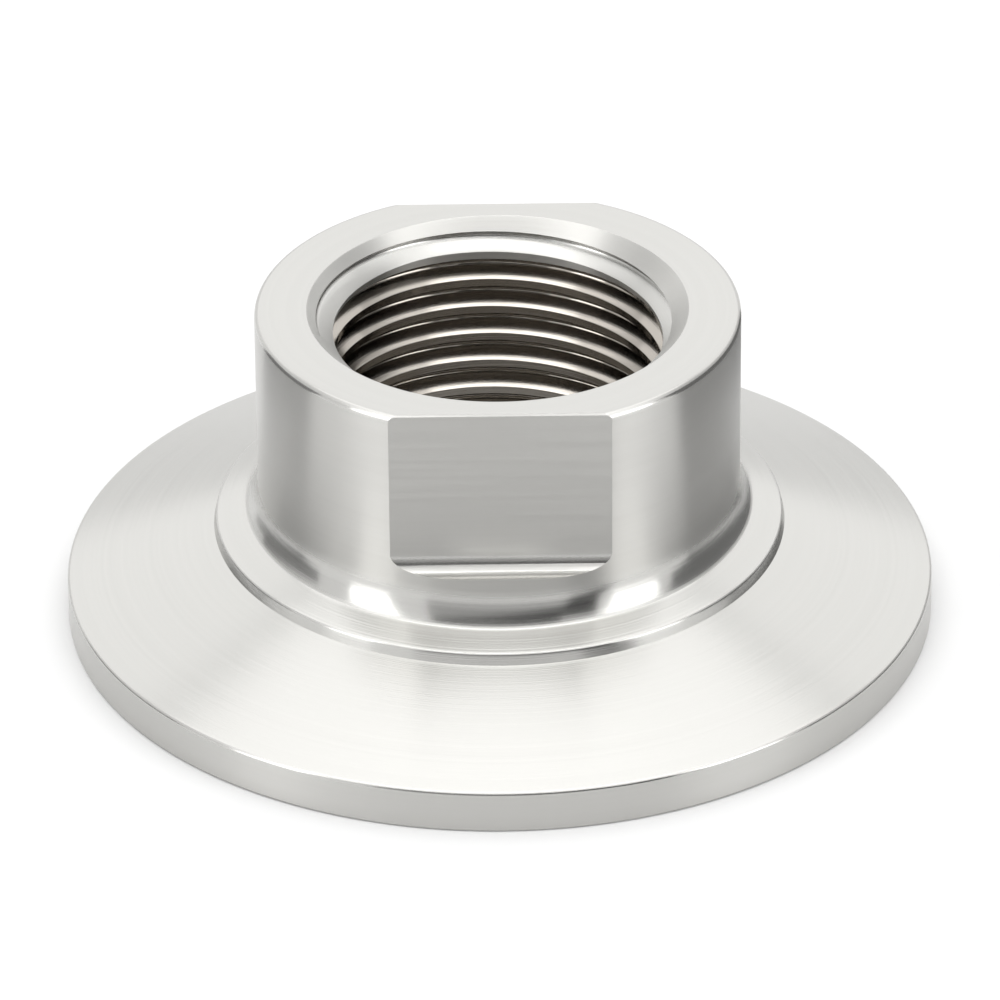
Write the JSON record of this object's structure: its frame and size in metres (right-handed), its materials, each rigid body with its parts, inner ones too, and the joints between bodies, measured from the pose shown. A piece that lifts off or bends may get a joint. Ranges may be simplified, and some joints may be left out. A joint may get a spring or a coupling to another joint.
{
  "type": "sanitary clamp threaded adapter",
  "caption": "One-piece turned stainless adapter: a clamp ferrule flange with a threaded female hub and two wrench flats.",
  "frame": {"origin": "centre of the flat sealing face, at the bottom of the adapter", "axes": "+Z along the bore from the sealing face to the threaded mouth; the wrench flats face -Y and +Y"},
  "size_m": [0.0506, 0.0504, 0.0196],
  "materials": {
    "turned_stainless_steel": "satin turned stainless steel with fine turning marks, and fine milling marks on the wrench flats"
  },
  "bodies": {
    "root": {"clamp_threaded_adapter": "turned_stainless_steel"}
  },
  "joints": []
}
